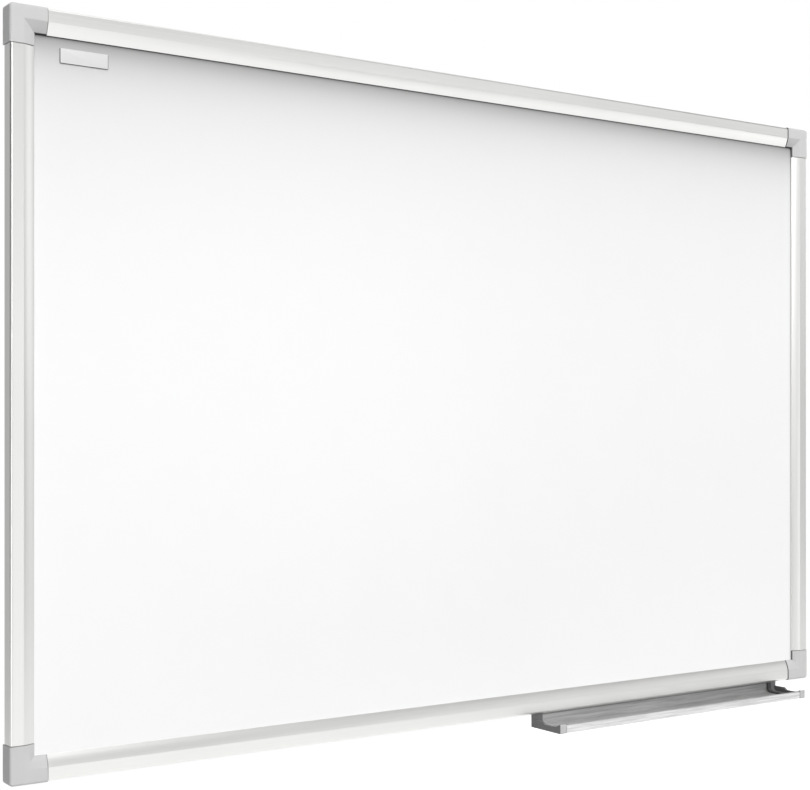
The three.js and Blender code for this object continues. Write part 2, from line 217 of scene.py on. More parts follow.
def brushedTrayAluminium():
    # Aluminium, extruded and brushed along its length: streaks that catch the light, a shade darker than the frame
    material, add, drawn = newMaterial("brushedTrayAluminium", "drawn")
    # A brush leaves lines of about 0.1 mm that run for 20 to 60 mm; they are drawn 1.4 mm wide so that they show
    stretched = add("ShaderNodeMapping", links={
        "Vector": drawn, "Scale": (1 / (1.4 * mm), 1 / (1.4 * mm), 1 / (45 * mm))})
    streaks = add("ShaderNodeTexNoise", links={"Vector": stretched, "Scale": 1.0, "Detail": 3.0, "Roughness": 0.65})
    contrast = add("ShaderNodeMapRange", links={"Value": streaks, "From Min": 0.35, "From Max": 0.65})
    tone = add("ShaderNodeMix", colours, {0: contrast, 6: "#D6D6D6", 7: "#F6F6F6"})
    # The trough's rear wall, in shade under the rail, is painted darker: painted shade
    section = add("ShaderNodeSeparateXYZ", links={"Vector": drawn}).outputs
    paintedWallShade = add("ShaderNodeMapRange", smooth, {
        "Value": section["Y"], "From Min": trayShadeAndWear["wallShadeFrom"] * mm, "From Max": trayShadeAndWear["wallShadeFull"] * mm,
        "To Min": trayShadeAndWear["wallShadeTone"], "To Max": 1.0})
    sheen = add("ShaderNodeMapRange", links={"Value": streaks, "To Min": 0.26, "To Max": 0.42})
    # Pens and the eraser have scuffed the trough, so it is duller there than on the lip and the front
    behindLip = add("ShaderNodeMath", {"operation": "LESS_THAN"}, {0: section["Y"], 1: trayShadeAndWear["troughFront"] * mm})
    aboveFloor = add("ShaderNodeMath", above, {0: section["X"], 1: trayShadeAndWear["troughFloor"] * mm})
    inside = add("ShaderNodeMath", times, {0: behindLip, 1: aboveFloor})
    dull = add("ShaderNodeMath", {"operation": "MULTIPLY_ADD"}, {0: inside, 1: trayShadeAndWear["scuffed"], 2: sheen})
    # The trough is a little lighter at its left end and darker towards its right end
    place = add("ShaderNodeSeparateXYZ", links={"Vector": add("ShaderNodeTexCoord").outputs["Object"]}).outputs
    brightnessLevel = add("ShaderNodeMapRange", links={
        "Value": place["X"], "From Min": trayShadeAndWear["lighterEnd"] * mm, "From Max": trayShadeAndWear["darkerEnd"] * mm,
        "To Min": trayShadeAndWear["lighterTone"], "To Max": trayShadeAndWear["darkerTone"]})
    trough = add("ShaderNodeMix", {"data_type": "FLOAT"}, {0: inside, 2: 1.0, 3: brightnessLevel})
    # A painted shadow lies in the angle between the rear wall and the rail
    paintedRailShadow = add("ShaderNodeMapRange", smooth, {
        "Value": place["Z"], "From Min": trayShadeAndWear["railShadowLow"] * mm, "From Max": trayShadeAndWear["railShadowHigh"] * mm,
        "To Min": 1.0, "To Max": trayShadeAndWear["railShadowTone"]})
    wall = add("ShaderNodeMath", times, {0: paintedWallShade, 1: paintedRailShadow})
    brightness = add("ShaderNodeMath", times, {0: wall, 1: trough})
    toned = add("ShaderNodeVectorMath", scaled, {0: tone, "Scale": brightness})
    bump = add("ShaderNodeBump", links={"Height": streaks, "Strength": 0.35, "Distance": 0.04 * mm})
    # The brush lines run along X, so light spreads across them, round the X axis
    acrossLines = add("ShaderNodeTangent", {"direction_type": "RADIAL", "axis": "X"})
    return surfaced(material, {
        "Tangent": acrossLines, "Anisotropic": 0.6, "Metallic": 1.0, "Base Color": toned, "Roughness": dull,
        "Normal": bump})


cornerPaintedShade = {
    # The colour of the painted shade on the arms' ends and on the lip's edge
    "tone": "#242424",
    # The last stretch of an arm, and of the lip over the panel, in which the painted shade sets in
    "armEnd": (0.45, 0.2),
    "lip": (0.9, 0.6),
    # The lip's thin edge lies behind this depth
    "lipFront": (12.6, 12.2),
    # Shares of painted shade: on most arms' ends, on the darkest ends, and on the right-hand corners' upright lips
    "faintEndShade": 0.22,
    "darkEndShade": 0.85,
    "uprightLipShade": 0.8,
    # Painted shade on the slope starts this far to either side of the flat band's edge
    "slopeEdge": 0.8,
    "slopeShadeTone": 0.82,
}


def paintCornerShade(add, place, colour):
    # Painted shade on the ends of a corner's arms and on the thin edge of its lip, just in front of the panel, and on
    # the upper corners' slope
    parts = add("ShaderNodeSeparateXYZ", links={"Vector": place}).outputs
    inwards = []
    for axis, half in (("X", railSizes["boardWidth"] / 2), ("Z", railSizes["boardHeight"] / 2)):
        size = add("ShaderNodeMath", {"operation": "ABSOLUTE"}, {0: parts[axis]})
        inwards.append(add("ShaderNodeMath", {"operation": "SUBTRACT"}, {0: half * mm, 1: size}))
    alongArm, acrossArm = [
        add("ShaderNodeMath", {"operation": which}, {0: inwards[0], 1: inwards[1]})
        for which in ("MAXIMUM", "MINIMUM")]
    end, lip, low = [
        add("ShaderNodeMapRange", links={
            "Value": value, "From Min": (edge - span[0]) * mm, "From Max": (edge - span[1]) * mm})
        for value, edge, span in (
            (alongArm, railSizes["cornerArm"], cornerPaintedShade["armEnd"]), (acrossArm, lipEdge, cornerPaintedShade["lip"]),
            (parts["Y"], 0, cornerPaintedShade["lipFront"]))]
    onRight, onTop, onLevelArm = [
        add("ShaderNodeMath", above, {0: value, 1: other})
        for value, other in ((parts["X"], 0.0), (parts["Z"], 0.0), (inwards[0], inwards[1]))]
    # Painted shade at the arms' ends is strongest at the right: a dark line where the two right-hand corners meet the
    # long rails, and a faint one elsewhere
    darkest = add("ShaderNodeMath", times, {0: onRight, 1: onLevelArm})
    endShade = add("ShaderNodeMapRange", links={
        "Value": darkest, "To Min": cornerPaintedShade["faintEndShade"], "To Max": cornerPaintedShade["darkEndShade"]})
    endAmount = add("ShaderNodeMath", times, {0: end, 1: endShade})
    # The lip's edge is painted black under the upper corners' level arms, and dark on the right-hand corners' upright
    # arms: painted shadow
    onUprightArm = add("ShaderNodeMapRange", links={
        "Value": onLevelArm, "To Min": cornerPaintedShade["uprightLipShade"], "To Max": 0.0})
    rightLipShade = add("ShaderNodeMath", times, {0: onRight, 1: onUprightArm})
    onTopArm = add("ShaderNodeMath", times, {0: onTop, 1: onLevelArm})
    lipShade = add("ShaderNodeMath", larger, {0: onTopArm, 1: rightLipShade})
    lipLow = add("ShaderNodeMath", times, {0: lip, 1: low})
    lipAmount = add("ShaderNodeMath", times, {0: lipLow, 1: lipShade})
    either = add("ShaderNodeMath", larger, {0: endAmount, 1: lipAmount})
    # The upper corners' slope over the panel is painted darker, painted shade as on the lacquer below
    slope = add("ShaderNodeMapRange", smooth, {
        "Value": inwards[1], "From Min": (railSizes["flatBand"] - cornerPaintedShade["slopeEdge"]) * mm,
        "From Max": (railSizes["flatBand"] + cornerPaintedShade["slopeEdge"]) * mm})
    shadedSlope = add("ShaderNodeMath", times, {0: slope, 1: onTopArm})
    slopeLevel = add("ShaderNodeMapRange", links={"Value": shadedSlope, "To Min": 1.0, "To Max": cornerPaintedShade["slopeShadeTone"]})
    slopeShaded = add("ShaderNodeVectorMath", scaled, {0: colour, "Scale": slopeLevel})
    return add("ShaderNodeMix", colours, {0: either, 6: slopeShaded, 7: cornerPaintedShade["tone"]})


capShots = {
    # The second, paler shot fills what lies in front of this depth
    "front": "#C6C6C6",
    "frontFrom": 43.7,
    "blend": 0.2,
    # Painted shadow in the joint between the right-hand cap's front and the tray's, along the board
    "jointShadow": "#3A3A3A",
    "jointFrom": 405.7,
    "jointTo": 406.0,
    "jointShare": 0.8,
    "rightOf": 300.0,
}


def paleFront(add, place, colour):
    # The two-shot moulding's front, and a painted shadow in the joint beside it on the right-hand cap
    parts = add("ShaderNodeSeparateXYZ", links={"Vector": place}).outputs
    inFront = add("ShaderNodeMapRange", links={
        "Value": parts["Y"], "From Min": -capShots["frontFrom"] * mm,
        "From Max": -(capShots["frontFrom"] + capShots["blend"]) * mm})
    shots = add("ShaderNodeMix", colours, {0: inFront, 6: colour, 7: capShots["front"]})
    # Painted shadow in the joint beside the right-hand cap's front
    nearJoint = add("ShaderNodeMapRange", links={
        "Value": parts["X"], "From Min": capShots["jointFrom"] * mm, "From Max": capShots["jointTo"] * mm,
        "To Min": capShots["jointShare"], "To Max": 0.0})
    onRightCap = add("ShaderNodeMath", above, {0: parts["X"], 1: capShots["rightOf"] * mm})
    jointShadow = add("ShaderNodeMath", times, {0: nearJoint, 1: onRightCap})
    return add("ShaderNodeMix", colours, {0: jointShadow, 6: shots, 7: capShots["jointShadow"]})


def mouldedAbs(name, lowHex, highHex, detailed):
    # ABS, injection moulded in a spark-eroded tool: even colour with a fine matt grain, to which the given function
    # adds what is special to the piece
    material, add, place = newMaterial(name)
    # The tool's grain is about 0.15 mm, drawn at 0.5 mm so that it shows
    grain = add("ShaderNodeTexNoise", links={"Vector": place, "Scale": 1 / (0.5 * mm), "Detail": 2.0, "Roughness": 0.6})
    # Flow of the melt changes the tone a little over about 20 mm
    flow = add("ShaderNodeTexNoise", links={"Vector": place, "Scale": 1 / (20 * mm), "Detail": 2.0})
    tone = add("ShaderNodeMix", colours, {0: flow, 6: lowHex, 7: highHex})
    gloss = add("ShaderNodeMapRange", links={"Value": grain, "To Min": 0.42, "To Max": 0.58})
    bump = add("ShaderNodeBump", links={"Height": grain, "Strength": 0.3, "Distance": 0.05 * mm})
    return surfaced(material, {
        "IOR": 1.53, "Base Color": detailed(add, place, tone), "Roughness": gloss, "Normal": bump})


# Painted shade on the lacquer, each with the axis it thins out along from the lip's edge, its reach and its share:
# a grey painted shadow in two layers under the top rail, and a dark painted shadow line there and at the right-hand
# rail
lacquerPaintedShade = (("Z", 15, 0.46), ("Z", 90, 0.20), ("Z", 0.8, 0.45), ("X", 0.8, 0.5))


def bakedWhiteLacquer():
    # Polyester lacquer, roller-coated and baked on steel: glossy white with a faint orange peel
    material, add, place = newMaterial("bakedWhiteLacquer")
    # Orange peel has waves of about 3 mm
    peel = add("ShaderNodeTexNoise", links={"Vector": place, "Scale": 1 / (3 * mm), "Detail": 2.0, "Roughness": 0.5})
    # Wiping leaves a faint haze in patches of about 90 mm
    haze = add("ShaderNodeTexNoise", links={"Vector": place, "Scale": 1 / (90 * mm), "Detail": 3.0, "Roughness": 0.6})
    tone = add("ShaderNodeMix", colours, {0: haze, 6: "#FAFAFA", 7: "#FCFCFC"})
    # The lacquer is painted darker under the top rail, a painted shadow that thins downwards, with a dark painted line
    # there and at the right-hand rail
    parts = add("ShaderNodeSeparateXYZ", links={"Vector": place}).outputs
    borders = {"X": railSizes["boardWidth"] / 2 - lipEdge, "Z": railSizes["boardHeight"] / 2 - lipEdge}
    paintedShade = 0.0
    for axis, reach, amount in lacquerPaintedShade:
        away = add("ShaderNodeMath", {"operation": "SUBTRACT"}, {0: borders[axis] * mm, 1: parts[axis]})
        share = add("ShaderNodeMath", times, {0: away, 1: -1 / (reach * mm)})
        fade = add("ShaderNodeMath", {"operation": "EXPONENT"}, {0: share})
        paintedShade = add("ShaderNodeMath", {"operation": "MULTIPLY_ADD"}, {0: fade, 1: amount, 2: paintedShade})
    brightnessLevel = add("ShaderNodeMath", {"operation": "SUBTRACT", "use_clamp": True}, {0: 1.0, 1: paintedShade})
    shadedTone = add("ShaderNodeVectorMath", scaled, {0: tone, "Scale": brightnessLevel})
    gloss = add("ShaderNodeMapRange", links={"Value": haze, "To Min": 0.14, "To Max": 0.24})
    bump = add("ShaderNodeBump", links={"Height": peel, "Strength": 0.08, "Distance": 0.05 * mm})
    return surfaced(material, {"IOR": 1.5, "Base Color": shadedTone, "Roughness": gloss, "Normal": bump})


def woodFibreBoard():
    # Soft wood-fibre board, pressed: matt brown with short pale and dark fibres
    material, add, place = newMaterial("woodFibreBoard")
    # Fibres are about 0.4 mm thick and 3 mm long and lie flat in the board
    lying = add("ShaderNodeMapping", links={
        "Vector": place, "Rotation": (0, 0.6, 0), "Scale": (1 / (3 * mm), 1 / (0.4 * mm), 1 / (0.9 * mm))})
    fibres = add("ShaderNodeTexNoise", links={"Vector": lying, "Scale": 1.0, "Detail": 4.0, "Roughness": 0.7})
    tone = add("ShaderNodeMix", colours, {0: fibres, 6: "#8A6E4C", 7: "#CDB48E"})
    bump = add("ShaderNodeBump", links={"Height": fibres, "Strength": 0.6, "Distance": 0.2 * mm})
    return surfaced(material, {"Roughness": 0.9, "Base Color": tone, "Normal": bump})


def hotDipGalvanisedSteel():
    # Galvanised steel sheet, hot-dipped: flat crystals of zinc that each take the light a little differently
    material, add, place = newMaterial("hotDipGalvanisedSteel")
    # Spangles are about 9 mm across, with edges that wander 3 mm
    ragged = add("ShaderNodeTexNoise", links={"Vector": place, "Scale": 1 / (4 * mm), "Detail": 3.0})
    shift = add("ShaderNodeVectorMath", scaled, {0: ragged.outputs["Color"], "Scale": 3 * mm})
    moved = add("ShaderNodeVectorMath", {"operation": "ADD"}, {0: place, 1: shift})
    spangle = add("ShaderNodeTexVoronoi", links={"Vector": moved, "Scale": 1 / (9 * mm)})
    level = add("ShaderNodeSeparateColor", links={0: spangle.outputs["Color"]}).outputs
    feather = add("ShaderNodeTexNoise", links={"Vector": place, "Scale": 1 / (0.9 * mm), "Detail": 2.0})
    blend = add("ShaderNodeMath", {"operation": "MULTIPLY_ADD", "use_clamp": True}, {
        0: feather, 1: 0.3, 2: level["Red"]})
    tone = add("ShaderNodeMix", colours, {0: blend, 6: "#A4A9AC", 7: "#C3C7C9"})
    sheen = add("ShaderNodeMapRange", links={"Value": level["Green"], "To Min": 0.34, "To Max": 0.52})
    bump = add("ShaderNodeBump", links={"Height": blend, "Strength": 0.15, "Distance": 0.05 * mm})
    return surfaced(material, {"Metallic": 1.0, "Base Color": tone, "Roughness": sheen, "Normal": bump})


def zincPlatedSteel():
    # Steel, cold-headed and zinc plated: bright, slightly blue, with tumbling marks about 0.8 mm across
    material, add, place = newMaterial("zincPlatedSteel")
    marks = add("ShaderNodeTexNoise", links={"Vector": place, "Scale": 1 / (0.8 * mm), "Detail": 3.0, "Roughness": 0.6})
    tone = add("ShaderNodeMix", colours, {0: marks, 6: "#AEB3B8", 7: "#D4D8DA"})
    sheen = add("ShaderNodeMapRange", links={"Value": marks, "To Min": 0.22, "To Max": 0.4})
    return surfaced(material, {"Metallic": 1.0, "Base Color": tone, "Roughness": sheen})


finishes = {
    "rail": satinAnodisedAluminium(),
    "tray": brushedTrayAluminium(),
    "corner": mouldedAbs("lightGreyMouldedAbs", "#CDCDCD", "#D2D2D2", paintCornerShade),
    "cap": mouldedAbs("twoShotGreyAbs", "#7A7A7B", "#828283", paleFront),
    "panel": bakedWhiteLacquer(),
    "core": woodFibreBoard(),
    "back": hotDipGalvanisedSteel(),
    "screw": zincPlatedSteel(),
}
print("materials made:", len(finishes))


traySizes = {
    "length": 340.0,
    "centre": 243.0,
    "wallGap": 0.8,
    "reach": 44.3,
    "drop": 15.0,
    "floor": 1.3,
    "wall": 1.4,
    "lipTop": 7.0,
    "lipThickness": 1.5,
    "frontFillet": 3.0,
    "rearFillet": 5.0,
    "edgeRadius": 1.2,
    "tongueGap": 0.3,
    "capWidth": 7.5,
    "capGap": 0.35,
    "breakEdge": 0.2,
}

# In how many steps each curve of the sections is drawn, and the angle in degrees from which a corner counts as straight
sectionSteps = {
    "slope": 16,
    "underside": 12,
    "round": 12,
    "rearBend": 14,
    "frontEdge": 8,
    "brokenEdge": 3,
    "straightFrom": 150,
}
# In degrees: edges that bend more than this are drawn sharp
creaseAngle = 32
# In mm: points of a pulled section that are closer than this become one
weldWithin = 0.001


def curveBetween(start, control, end, steps):
    # Points of a quadratic curve after its start
    return [tuple(
        (1 - t) ** 2 * start[k] + 2 * t * (1 - t) * control[k] + t ** 2 * end[k] for k in (0, 1))
        for t in (i / steps for i in range(1, steps + 1))]


def brokenEdges(points, radius, steps=sectionSteps["brokenEdge"]):
    # Rounds each sharp corner of a closed outline with a small radius, as a drawing die does
    rounded = []
    for i, point in enumerate(points):
        here = Vector(point)
        before = Vector(points[i - 1]) - here
        after = Vector(points[(i + 1) % len(points)]) - here
        if before.angle(after) > math.radians(sectionSteps["straightFrom"]):
            rounded.append(tuple(here))
            continue
        # Short sides keep a straight piece in their middle
        first, last = [here + side.normalized() * min(radius, side.length * 0.4) for side in (before, after)]
        rounded += [tuple(first), *curveBetween(first, here, last, steps)]
    return rounded


def railOutlines(sizes, grooved):
    # The section as (s, d): s is the distance in from the outer face, d the distance out from the wall
    rear = sizes["wallGap"]
    front = rear + sizes["depth"]
    wall = sizes["wall"]
    slotRear = rear + wall
    underside = front - sizes["slopeDrop"] - sizes["lipTip"]
    axis = rear + sizes["depth"] / 2
    grooveFloor = wall + sizes["grooveDepth"]
    mouth = sizes["grooveMouth"] / 2
    head = sizes["grooveWidth"] / 2

    def slopeDepth(share):
        return front - sizes["slopeDrop"] * share + 4 * sizes["slopeCrown"] * share * (1 - share)

    def slopePoint(share, drop):
        return (sizes["flatBand"] + sizes["slopeRun"] * share, slopeDepth(share) - drop)

    firstShare = (sizes["slotFloor"] - sizes["flatBand"]) / sizes["slopeRun"]
    lastShare = 1 - sizes["lipBead"] / sizes["slopeRun"]
    outer = [(0, rear), (sizes["flangeReach"], rear), (sizes["flangeReach"], slotRear), (sizes["slotFloor"], slotRear)]
    steps = sectionSteps["underside"]
    outer += [
        slopePoint(firstShare + (lastShare - firstShare) * i / steps, sizes["lipWall"]) for i in range(steps + 1)]
    outer += [(lipEdge - sizes["lipBead"], underside), (lipEdge, underside)]
    steps = sectionSteps["slope"]
    outer += [slopePoint(1 - i / steps, 0) for i in range(steps + 1)]
    radius = sizes["edgeRadius"]
    steps = sectionSteps["round"]
    for i in range(steps + 1):
        angle = math.pi / 2 * (1 + i / steps)
        outer.append((radius + radius * math.cos(angle), front - radius + radius * math.sin(angle)))
    chamberSide = head + wall
    inner = sizes["slotFloor"] - wall
    chamber = [(wall, slotRear), (inner, slotRear), (inner, front - wall), (wall, front - wall)]
    if grooved:
        outer += [
            (0, axis + mouth), (wall, axis + mouth), (wall, axis + head), (grooveFloor, axis + head),
            (grooveFloor, axis - head), (wall, axis - head), (wall, axis - mouth), (0, axis - mouth),
        ]
        chamber += [
            (wall, axis + chamberSide), (grooveFloor + wall, axis + chamberSide),
            (grooveFloor + wall, axis - chamberSide), (wall, axis - chamberSide),
        ]
    return [brokenEdges(outer, sizes["breakEdge"]), brokenEdges(chamber, sizes["breakEdge"])]


def trayOutlines(sizes):
    # The section as (height, d), with the bottom rail's lower face at height zero
    rail = railSizes
    axis = rail["wallGap"] + rail["depth"] / 2
    gap = sizes["tongueGap"]
    neck = rail["grooveMouth"] / 2 - gap
    head = rail["grooveWidth"] / 2 - gap
    headLow = rail["wall"] + gap
    headHigh = rail["wall"] + rail["grooveDepth"] - gap
    bottom = -sizes["drop"]
    floor = bottom + sizes["floor"]
    rear = sizes["wallGap"] + sizes["wall"]
    flange = -gap - sizes["wall"]
    lip = sizes["reach"] - sizes["lipThickness"]
    half = sizes["lipThickness"] / 2
    fillet = sizes["frontFillet"]
    bend = sizes["rearFillet"]
    outline = [
        (headLow, axis - neck), (headLow, axis - head), (headHigh, axis - head),
        (headHigh, axis + head), (headLow, axis + head), (headLow, axis + neck),
        (flange, axis + neck), (flange, rear), (floor + bend, rear),
    ]
    outline += curveBetween((floor + bend, rear), (floor, rear), (floor, rear + bend), sectionSteps["rearBend"])
    outline.append((floor, lip - fillet))
    steps = sectionSteps["round"]
    outline += curveBetween((floor, lip - fillet), (floor, lip), (floor + fillet, lip), steps)
    lipCentre = (-sizes["lipTop"] - half, sizes["reach"] - half)
    for i in range(steps + 1):
        angle = math.pi * (1.5 + i / steps)
        outline.append((lipCentre[0] + half * math.cos(angle), lipCentre[1] + half * math.sin(angle)))
    edge = sizes["edgeRadius"]
    outline.append((bottom + edge, sizes["reach"]))
    outline += curveBetween(
        (bottom + edge, sizes["reach"]), (bottom, sizes["reach"]), (bottom, sizes["reach"] - edge),
        sectionSteps["frontEdge"])
    outline += [(bottom, sizes["wallGap"]), (-gap, sizes["wallGap"]), (-gap, axis - neck)]
    return [brokenEdges(outline, sizes["breakEdge"])]


def openTree(name, inputs):
    # A Geometry Nodes tree that takes geometry and the given inputs, its function for adding nodes, and the sockets
    # that bring the inputs in
    tree = bpy.data.node_groups.new(name, "GeometryNodeTree")
    for label, kind in (("Geometry", "Geometry"), *inputs):
        tree.interface.new_socket(label, in_out="INPUT", socket_type="NodeSocket" + kind)
    tree.interface.new_socket("Geometry", in_out="OUTPUT", socket_type="NodeSocketGeometry")
    add = partial(addNode, tree)
    return tree, add, add("NodeGroupInput").outputs


def closeTree(add, geometry, finish):
    # A tree's end: real geometry with its material
    real = add("GeometryNodeRealizeInstances", links={"Geometry": geometry})
    finished = add("GeometryNodeSetMaterial", links={"Geometry": real, "Material": finish})
    add("NodeGroupOutput", links={"Geometry": finished})


def applyTree(piece, tree, values):
    # Gives the piece the tree as a modifier, with the inputs set by their identifiers
    modifier = piece.modifiers.new(tree.name, "NODES")
    modifier.node_group = tree
    for item in tree.interface.items_tree:
        if item.item_type == "SOCKET" and item.in_out == "INPUT" and item.name in values:
            modifier[item.identifier] = values[item.name]


def extrusionTree():
    # Fills a closed section drawn in X and Y and pulls it out along Z
    tree, add, given = openTree("pulledSection", (
        ("Length", "Float"), ("Crease Angle", "Float"), ("Finish", "Material")))
    loops = add("GeometryNodeMeshToCurve", links={"Mesh": given["Geometry"]})
    filled = add("GeometryNodeFillCurve", links={"Curve": loops})
    pulled = add("GeometryNodeExtrudeMesh", links={
        "Mesh": filled, "Offset Scale": given["Length"], "Individual": False})
    turned = add("GeometryNodeFlipFaces", links={"Mesh": filled})
    joined = add("GeometryNodeJoinGeometry", links={"Geometry": [turned, pulled]})
    closed = add("GeometryNodeMergeByDistance", links={"Geometry": joined, "Distance": weldWithin * mm})
    halfBack = add("ShaderNodeMath", times, {0: given["Length"], 1: -0.5})
    middle = add("ShaderNodeCombineXYZ", links={"Z": halfBack})
    centred = add("GeometryNodeTransform", links={"Geometry": closed, "Translation": middle})
    place = add("GeometryNodeInputPosition")
    # The place in the section and along the length, which the die lines and brush streaks follow
    marked = add("GeometryNodeStoreNamedAttribute", {"data_type": "FLOAT_VECTOR", "domain": "POINT"}, {
        "Geometry": centred, "Name": "drawn", "Value": place})
    soft = add("GeometryNodeSetShadeSmooth", {"domain": "FACE"}, {"Geometry": marked, "Shade Smooth": True})
    bend = add("GeometryNodeInputMeshEdgeAngle")
    sharp = add("FunctionNodeCompare", {"data_type": "FLOAT", "operation": "GREATER_THAN"}, {
        0: bend, 1: given["Crease Angle"]})
    creased = add("GeometryNodeSetShadeSmooth", {"domain": "EDGE"}, {
        "Geometry": soft, "Selection": sharp, "Shade Smooth": False})
    closeTree(add, creased, given["Finish"])
    return tree


def pulledPiece(name, outlines, length, placing, finish):
    # One extrusion from its section's outlines in millimetres, placed by a matrix in metres
    vertices, edges = [], []
    for outline in outlines:
        first = len(vertices)
        vertices += [(x * mm, y * mm, 0) for x, y in outline]
        edges += [(first + i, first + (i + 1) % len(outline)) for i in range(len(outline))]
    section = bpy.data.meshes.new(name + "Section")
    section.from_pydata(vertices, edges, [])
    drawing = meshPiece(name + "Section", section)
    applyTree(drawing, sectionTree, {
        "Length": length * mm, "Crease Angle": math.radians(creaseAngle), "Finish": finish})
    # Wide flats keep their own normals, so that light bends only at their edges
    drawing.modifiers.new("evenFlats", "WEIGHTED_NORMAL").keep_sharp = True
    mesh = evaluatedMesh(drawing, name)
    mesh.transform(placing)
    return meshPiece(name, mesh)


# A section's X goes up, its Y out from the wall, and it is pulled along the board
alongBoard = Matrix(((0, 0, 1, 0), (0, -1, 0, 0), (1, 0, 0, 0), (0, 0, 0, 1)))
sectionTree = extrusionTree()
frameSides = {
    "bottom": {"turn": 0, "length": railSizes["boardWidth"], "across": railSizes["boardHeight"]},
    "right": {"turn": -90, "length": railSizes["boardHeight"], "across": railSizes["boardWidth"]},
    "top": {"turn": 180, "length": railSizes["boardWidth"], "across": railSizes["boardHeight"]},
    "left": {"turn": 90, "length": railSizes["boardHeight"], "across": railSizes["boardWidth"]},
}
for side, facts in frameSides.items():
    length = facts["length"] - 2 * (railSizes["cornerArm"] + railSizes["jointGap"])
    placing = (
        Matrix.Rotation(math.radians(facts["turn"]), 4, "Y")
        @ Matrix.Translation((0, 0, -facts["across"] / 2 * mm))
        @ alongBoard)
    # Only the bottom rail has the tray's groove
    section = railOutlines(railSizes, side == "bottom")
    rail = pulledPiece("railExtrusion." + side, section, length, placing, finishes["rail"])
    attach(rail, "board")
    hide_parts("rail_" + side)

profileLength = traySizes["length"] - 2 * (traySizes["capWidth"] + traySizes["capGap"])
trayPlacing = Matrix.Translation((traySizes["centre"] * mm, 0, -railSizes["boardHeight"] / 2 * mm)) @ alongBoard
tray = pulledPiece("trayExtrusion", trayOutlines(traySizes), profileLength, trayPlacing, finishes["tray"])
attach(tray, "tray")
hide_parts("tray_profile")
print("extrusions pulled: 4 rails and the tray")


mouldings = {
    "cornerEdge": 0.22,
    "capEdge": 0.25,
    "edgeSteps": 2,
    "mergeWithin": 0.004,
    # In degrees
    "flatAngle": 0.4,
}


def mouldedCopy(node, name, edge, finish):
    # The CAD node's own shape with merged vertices, whole faces and the small radii that a mould leaves
    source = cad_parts[node].data
    bm = bmesh.new()
    corners = [bm.verts.new(v.co) for v in source.vertices]
    for polygon in source.polygons:
        bm.faces.new([corners[i] for i in polygon.vertices])
    bmesh.ops.remove_doubles(bm, verts=bm.verts, dist=mouldings["mergeWithin"] * mm)
    bmesh.ops.dissolve_limit(
        bm, angle_limit=math.radians(mouldings["flatAngle"]), verts=bm.verts, edges=bm.edges,
        use_dissolve_boundaries=False)
    mesh = bpy.data.meshes.new(name)
    bm.to_mesh(mesh)
    bm.free()
    mesh.polygons.foreach_set("use_smooth", [True] * len(mesh.polygons))
    rough = meshPiece(name + "Sharp", mesh)
    bevel = rough.modifiers.new("mouldRadius", "BEVEL")
    bevel.width = edge * mm
    bevel.segments = mouldings["edgeSteps"]
    bevel.limit_method = "ANGLE"
    bevel.angle_limit = math.radians(creaseAngle)
    bevel.use_clamp_overlap = True
    rough.modifiers.new("evenFlats", "WEIGHTED_NORMAL")
    mesh = evaluatedMesh(rough, name)
    mesh.materials.clear()
    mesh.materials.append(finish)
    return meshPiece(name, mesh)


for place in ("top_left", "top_right", "bottom_left", "bottom_right"):
    words = place.split("_")
    corner = mouldedCopy(
        "corner_" + place, "cornerMoulding." + words[0] + words[1].capitalize(), mouldings["cornerEdge"],
        finishes["corner"])
    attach(corner, "board")
    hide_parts("corner_" + place)

for side in ("left", "right"):
    cap = mouldedCopy("tray_end_cap_" + side, "capMoulding." + side, mouldings["capEdge"], finishes["cap"])
    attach(cap, "tray")
    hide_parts("tray_end_cap_" + side)
print("mouldings made: 4 corners and 2 caps")


for node, finish in (("writing_sheet", "panel"), ("core_board", "core"), ("back_sheet", "back")):
    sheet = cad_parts[node]
    sheet.data.materials.clear()
    sheet.data.materials.append(finishes[finish])
print("panel finished")


screwSizes = {
    "headRadius": 2.5,
    "headHeight": 1.6,
    "shankRadius": 1.05,
    "threadHeight": 0.25,
    "length": 9.0,
    "tip": 2.0,
    "pitch": 1.1,
    "recessWidth": 0.55,
    "recessSpan": 2.6,
    "recessDepth": 0.9,
    "roundSteps": 28,
    "threadSteps": 20,
    "turnSeed": 4,
    # In degrees
    "creaseAngle": 35,
}


